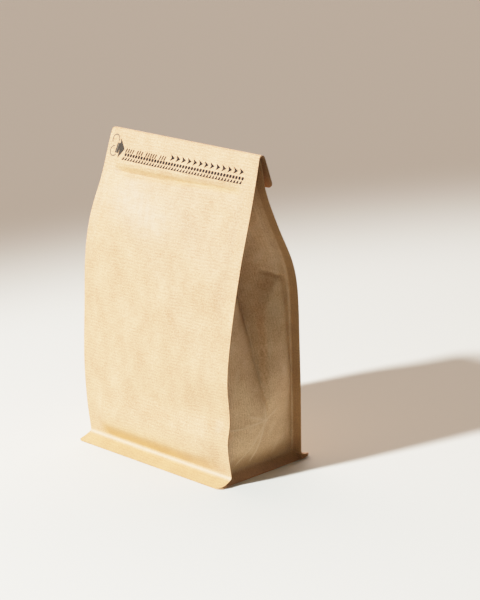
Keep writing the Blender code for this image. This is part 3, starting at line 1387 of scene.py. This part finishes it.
@dataclass
class Face:
    """The front panel's finished face, to lay print on."""

    panel: FrontPanel
    lift: float = 0.00006

    def place(self, across: Array, height: Array) -> Array:
        """Points just off the face, from places across and heights.

        The face's grid is read between its points: each point is the mean of
        the four about it, weighted by nearness, moved out along the normal.

        Args:
            across: x of each point.
            height: Height of each point.

        Returns:
            The points, in the shape of the input by 3.
        """
        form, rows = self.panel.form, self.panel.rows
        grid = self.panel.face.points
        share = (height - form.crease_height) / (form.fold_height - form.crease_height)
        row = rows.rim + share * rows.body
        column = (across / form.width + 0.5) * self.panel.columns
        r = np.clip(row.astype(int), 0, grid.shape[0] - 2)
        c = np.clip(column.astype(int), 0, grid.shape[1] - 2)
        a = (row - r)[..., None]
        b = (column - c)[..., None]
        raised = grid + outward(grid) * self.lift
        low = mix(raised[r, c], raised[r, c + 1], b)
        high = mix(raised[r + 1, c], raised[r + 1, c + 1], b)
        return mix(low, high, a)

    def lay(self, name: str, marks: list[tuple[Array, Array]], finish: bpy.types.Material) -> None:
        """Lays flat marks on the face as one piece.

        Args:
            name: The piece's name.
            marks: Grids of x and of height, one pair for each mark.
            finish: The ink.
        """
        points, quads, count = [], [], 0
        for across, height in marks:
            placed = self.place(across, height)
            points.append(placed.reshape(-1, 3))
            quads.append(grid_faces(*across.shape) + count)
            count += across.size
        joined = np.concatenate(points)
        flat = flat_place(joined[:, 0], joined[:, 2])
        piece = make_mesh(name, joined, np.concatenate(quads), flat)
        settle(piece, finish, False)


@dataclass
class TearStripPrint:
    """The tear strip's marks: a start arrow, strokes, darts and two dotted lines."""

    face: Face
    line_height: float = 0.2098
    stroke_start: float = -0.0512
    stroke_pitch: float = 0.00222
    stroke_groups: tuple[int, ...] = (4, 3, 5, 3)
    stroke_size: Place = (0.00095, 0.0029)
    dart_start: float = -0.0058
    dart_pitch: float = 0.00526
    dart_count: int = 13
    dart_size: Place = (0.0038, 0.0044)
    dots_height: float = 0.2062
    dots_start: float = -0.0511
    dots_pitch: float = 0.002667
    dot_count: int = 42
    dot_size: Place = (0.0020, 0.0023)
    teeth_height: float = 0.2036
    teeth_size: Place = (0.0021, 0.0022)
    arrow_back: float = -0.0618
    arrow_neck: float = -0.0584
    arrow_tip: float = -0.0537
    arrow_middle: float = 0.2096
    shaft_height: float = 0.0068
    head_height: float = 0.0128
    loop_radius: float = 0.0031
    loop_width: float = 0.00070

    @staticmethod
    def patch(columns: int = 4, rows: int = 4) -> tuple[Array, Array]:
        """A grid of u and v, each from -1 to 1.

        Args:
            columns: How many faces across.
            rows: How many faces up.

        Returns:
            The grids of u and of v.
        """
        u = np.linspace(-1.0, 1.0, columns + 1)[None, :] + np.zeros((rows + 1, 1))
        v = np.linspace(-1.0, 1.0, rows + 1)[:, None] + np.zeros((1, columns + 1))
        return u, v

    def bar(self, x: float, z: float, size: Place, slant: float = 0.0) -> tuple[Array, Array]:
        """A slanted bar: a square grid scaled to its size and sheared.

        Args:
            x: The middle's place across.
            z: The middle's height.
            size: The width and the height.
            slant: How far the top leans right, as a share of the height.

        Returns:
            Grids of x and of height.
        """
        u, v = self.patch(2, 4)
        return x + (u * size[0] + slant * v * size[1]) / 2, z + v * size[1] / 2

    def dot(self, x: float, z: float, size: Place) -> tuple[Array, Array]:
        """A round-cornered dot: a square grid drawn in part of the way to a disc.

        Args:
            x: The middle's place across.
            z: The middle's height.
            size: The width and the height.

        Returns:
            Grids of x and of height.
        """
        u, v = self.patch()
        round_u = u * np.sqrt(1.0 - 0.42 * v * v)
        round_v = v * np.sqrt(1.0 - 0.42 * u * u)
        return x + (round_u * size[0] + 0.12 * round_v * size[1]) / 2, z + round_v * size[1] / 2

    def tooth(self, x: float, z: float, size: Place) -> tuple[Array, Array]:
        """A slanted tooth: a bar that narrows towards its top.

        Args:
            x: The middle's place across.
            z: The middle's height.
            size: The width and the height.

        Returns:
            Grids of x and of height.
        """
        u, v = self.patch(2, 4)
        width = size[0] * (0.62 - 0.38 * v)
        return x + (u * width + 0.45 * v * size[1]) / 2, z + v * size[1] / 2

    def dart(self, x: float, z: float, size: Place) -> tuple[Array, Array]:
        """A dart pointing right: from a notched back edge it narrows to a tip.

        Args:
            x: The back edge's place across.
            z: The middle's height.
            size: The width and the height.

        Returns:
            Grids of x and of height.
        """
        u, v = self.patch(6, 4)
        t = (u + 1) / 2
        back = 0.27 * (1.0 - np.abs(v))
        return x + size[0] * mix(back, 1.0, t), z + v * size[1] / 2 * (1.0 - 0.97 * t)

    def arrow_head(self) -> tuple[Array, Array]:
        """The start arrow's head: a tall dart whose barbs sweep back a little.

        Returns:
            Grids of x and of height.
        """
        u, v = self.patch(6, 8)
        t = (u + 1) / 2
        back = self.arrow_neck - 0.0004 * np.square(v)
        reach = self.head_height / 2 * v * (1.0 - 0.96 * t**1.15)
        return mix(back, self.arrow_tip, t), self.arrow_middle + reach

    def shaft(self, start: float, end: float) -> tuple[Array, Array]:
        """A stretch of the start arrow's shaft, between shares of its length.

        Args:
            start: The share of the length where it starts.
            end: The share where it ends.

        Returns:
            Grids of x and of height.
        """
        low = mix(self.arrow_back, self.arrow_neck, start)
        high = mix(self.arrow_back, self.arrow_neck, end)
        size = (high - low, self.shaft_height)
        return self.bar((low + high) / 2, self.arrow_middle, size, 0.16)

    def loop(self, x: float, z: float, start: float, end: float) -> tuple[Array, Array]:
        """A thin arc: a narrow band about a circle from one angle to another.

        Args:
            x: The circle's centre across.
            z: The centre's height.
            start: The first angle, in degrees from the right.
            end: The last angle.

        Returns:
            Grids of x and of height.
        """
        u, v = self.patch(28, 1)
        angle = np.radians(mix(start, end, (u + 1) / 2))
        reach = self.loop_radius - v * self.loop_width / 2
        return x + reach * np.cos(angle), z + reach * 1.06 * np.sin(angle)

    def build(
        self, dark: bpy.types.Material, plain: bpy.types.Material, pale: bpy.types.Material
    ) -> None:
        """Lays every mark.

        Args:
            dark: The ink of the dots, the teeth, the darts and the strokes.
            plain: The ink of the arrow's head and shaft.
            pale: The thin ink of the loops and the shaft's stripe.
        """
        face = self.face
        places = self.dots_start + self.dots_pitch * np.arange(self.dot_count)
        dots = [self.dot(x, self.dots_height, self.dot_size) for x in places]
        face.lay("print_dots", dots, dark)
        teeth = [self.tooth(x - 0.0010, self.teeth_height, self.teeth_size) for x in places]
        face.lay("print_teeth", teeth, dark)
        starts = self.dart_start + self.dart_pitch * (np.arange(self.dart_count) - 0.5)
        darts = [self.dart(x, self.line_height + 0.0006, self.dart_size) for x in starts]
        face.lay("print_darts", darts, dark)
        face.lay("print_arrow", [self.shaft(0.52, 1.0), self.arrow_head()], plain)
        bands = [self.shaft(0.0, 0.22), self.shaft(0.44, 0.52)]
        face.lay("print_arrow_bands", bands, plain)
        face.lay("print_arrow_stripe", [self.shaft(0.22, 0.44)], pale)
        loops = [
            self.loop(-0.0636, 0.2150, 215.0, -15.0),
            self.loop(-0.0638, 0.2072, 85.0, 325.0),
        ]
        face.lay("print_loops", loops, pale)
        firsts = np.cumsum([0] + [count + 1 for count in self.stroke_groups])
        spots = [low + i for low, count in zip(firsts, self.stroke_groups) for i in range(count)]
        middles = [self.stroke_start + self.stroke_pitch * spot for spot in spots]
        stroke_height = self.line_height - 0.0008
        strokes = [self.bar(x, stroke_height, self.stroke_size, 0.40) for x in middles]
        face.lay("print_strokes", strokes, dark)


# ------------------------------------------------------------------ the studio


@dataclass
class Studio:
    """A plain pale floor, a soft key light, an even surround and the camera."""

    target: tuple[float, float, float] = (0.04386, 0.0, 0.11801)
    azimuth: float = 43.93
    elevation: float = 16.28
    distance: float = 1.38328
    lens: float = 122.88
    key_azimuth: float = -14.0
    key_elevation: float = 36.0
    key_distance: float = 4.0
    key_size: float = 0.30
    key_power: float = 2200.0
    key_colour: tuple[float, float, float] = (1.0, 1.0, 1.06)
    pool_centre: tuple[float, float, float] = (0.0, 0.0, 0.06)
    pool_radius: float = 0.56
    pool_blend: float = 0.55
    surround: Colour = (0.030, 0.026, 0.020, 1.0)
    beyond: Colour = (3.70, 2.75, 2.40, 1.0)
    backdrop: Colour = (1.30, 1.20, 1.05, 1.0)
    beyond_azimuth: float = 228.0
    beyond_start: float = 0.10
    beyond_edge: float = 0.76
    tone_white: float = 6.0
    tone_points: int = 12
    floor_colour: Colour = (0.70, 0.73, 0.65, 1.0)
    floor_size: float = 7.0
    floor_near: float = 0.37
    floor_right: float = 0.19
    floor_flare: float = 0.12
    floor_drop: float = 0.0001
    floor_roughness: float = 0.9
    floor_gloss: float = 0.1

    @staticmethod
    def direction(azimuth: float, elevation: float) -> Vector:
        """The unit vector from the bag towards an azimuth and an elevation.

        Args:
            azimuth: Degrees from the front, growing towards the right.
            elevation: Degrees above level.

        Returns:
            The vector.
        """
        a, e = math.radians(azimuth), math.radians(elevation)
        return Vector((math.sin(a) * math.cos(e), -math.cos(a) * math.cos(e), math.sin(e)))

    def place_camera(self) -> None:
        """Adds the camera and makes it the scene's."""
        lens = bpy.data.cameras.new("camera")
        lens.lens = self.lens
        lens.sensor_width = 36.0
        lens.dof.use_dof = False
        camera = bpy.data.objects.new("camera", lens)
        back = self.direction(self.azimuth, self.elevation)
        camera.location = Vector(self.target) + back * self.distance
        camera.rotation_euler = (-back).to_track_quat("-Z", "Y").to_euler()
        bpy.context.scene.collection.objects.link(camera)
        bpy.context.scene.camera = camera

    def place_key(self) -> None:
        """Adds the key light, a soft round lamp whose wide pool holds the bag."""
        lamp = bpy.data.lights.new("key", "SPOT")
        lamp.shadow_soft_size = self.key_size / 2
        lamp.spot_size = 2.0 * math.atan2(self.pool_radius, self.key_distance)
        lamp.spot_blend = self.pool_blend
        lamp.energy = self.key_power
        lamp.color = self.key_colour
        key = bpy.data.objects.new("key", lamp)
        towards = self.direction(self.key_azimuth, self.key_elevation)
        key.location = Vector(self.pool_centre) + towards * self.key_distance
        key.rotation_euler = (-towards).to_track_quat("-Z", "Y").to_euler()
        bpy.context.scene.collection.objects.link(key)

    def fill_surround(self) -> None:
        """Lights the scene dimly all round, and warmly from beyond the bag.

        The share of the warm light is the cosine between a direction and the
        warm light's azimuth, eased between its start and its edge. The camera
        itself sees a plain backdrop.
        """
        world = bpy.data.worlds.new("surround")
        world.use_nodes = True
        kit = Nodes(world.node_tree)
        way = kit.add("ShaderNodeTexCoord").outputs["Generated"]
        away = tuple(self.direction(self.beyond_azimuth, 0.0))
        facing = kit.add("ShaderNodeVectorMath", {0: way, 1: away}, operation="DOT_PRODUCT")
        limits = {"Value": facing.outputs["Value"], "From Min": self.beyond_start,
                  "From Max": self.beyond_edge}
        share = kit.add("ShaderNodeMapRange", limits, interpolation_type="SMOOTHSTEP")
        tone = kit.blend(share.outputs["Result"], self.surround, self.beyond)
        seen = kit.add("ShaderNodeLightPath").outputs["Is Camera Ray"]
        shown = kit.blend(seen, tone, self.backdrop)
        world.node_tree.links.new(shown, world.node_tree.nodes["Background"].inputs["Color"])
        bpy.context.scene.world = world

    def lay_floor(self) -> None:
        """Adds the plain pale floor.

        On the near side and the right it ends just outside the camera's view,
        so that light from it doesn't wash out the gusset's shade.
        """
        near = self.direction(self.azimuth, 0.0)
        right = Vector((-near.y, near.x, 0.0))
        spread = self.floor_size * self.floor_flare
        corners = [
            near * self.floor_near - right * self.floor_size,
            near * self.floor_near + right * self.floor_right,
            near * (self.floor_near - self.floor_size) - right * self.floor_size,
            near * (self.floor_near - self.floor_size) + right * (self.floor_right + spread),
        ]
        points = np.array(corners) - (0.0, 0.0, self.floor_drop)
        quads = np.array([[0, 1, 3, 2]])
        floor = make_mesh("floor", points, quads, points[:, :2] / self.floor_size + 0.5)
        made = bpy.data.materials.new("pale_floor")
        made.use_nodes = True
        shader = made.node_tree.nodes["Principled BSDF"]
        shader.inputs["Base Color"].default_value = self.floor_colour
        shader.inputs["Roughness"].default_value = self.floor_roughness
        shader.inputs["Specular IOR Level"].default_value = self.floor_gloss
        floor.data.materials.append(made)

    def set_tones(self) -> None:
        """Sets a tone curve like film's: a level x shows as 1 - exp(-x).

        The curve's points lie closer at its dark end, by the square of their
        share of it.
        """
        view = bpy.context.scene.view_settings
        view.view_transform = "Standard"
        view.use_curve_mapping = True
        mapping = view.curve_mapping
        mapping.white_level = (self.tone_white,) * 3
        levels = self.tone_white * np.linspace(0.0, 1.0, self.tone_points + 1) ** 2
        shown = 1.0 - np.exp(-levels)
        points = mapping.curves[3].points
        points[-1].location = (1.0, shown[-1])
        for level, tone in zip(levels[1:-1], shown[1:-1]):
            points.new(level / self.tone_white, tone)
        mapping.update()

    def build(self) -> None:
        """Sets up the floor, the lights, the camera and the colour transform."""
        self.lay_floor()
        self.place_key()
        self.fill_surround()
        self.place_camera()
        self.set_tones()


def main() -> None:
    """Builds the studio, then the sheets and the print, in that order."""
    logging.basicConfig(level=logging.INFO, format="%(name)s %(message)s")
    Studio().build()
    paper = KraftPaper("kraft_paper").material()
    dark = PrintInk("dark_ink", (0.006, 0.004, 0.003, 1.0), (0.022, 0.015, 0.010, 1.0)).material()
    plain = PrintInk("brown_ink", (0.026, 0.021, 0.015, 1.0), (0.060, 0.046, 0.031, 1.0)).material()
    pale = PrintInk("thin_ink", (0.100, 0.082, 0.056, 1.0), (0.210, 0.160, 0.100, 1.0)).material()
    # The gussets' paper: a lighter copy of the kraft paper that paints light on their shaded faces,
    # with a darker tone for their seals and painted shade.
    gusset_paper_painted_light = KraftPaper(
        "kraft_gusset", light=(0.810, 0.520, 0.272, 1.0), dark=(0.470, 0.245, 0.106, 1.0),
        worn=(0.780, 0.540, 0.310, 1.0), pressed=(0.400, 0.215, 0.086, 1.0),
        rib_shade=0.13, blotch=1.5,
    ).material()
    # The back's paper: its much darker sealed tone paints the shade under the flap.
    back_paper_painted_shade = KraftPaper("kraft_back", pressed=(0.280, 0.145, 0.055, 1.0)).material()
    form = BagForm()
    front = FrontPanel(form)
    front.build(paper)
    BackPanel(form).build(back_paper_painted_shade)
    for side in Side:
        Gusset(form, side).build(gusset_paper_painted_light)
    BottomSheet(form).build(paper)
    TearStripPrint(Face(front)).build(dark, plain, pale)


if __name__ == "__main__":
    main()
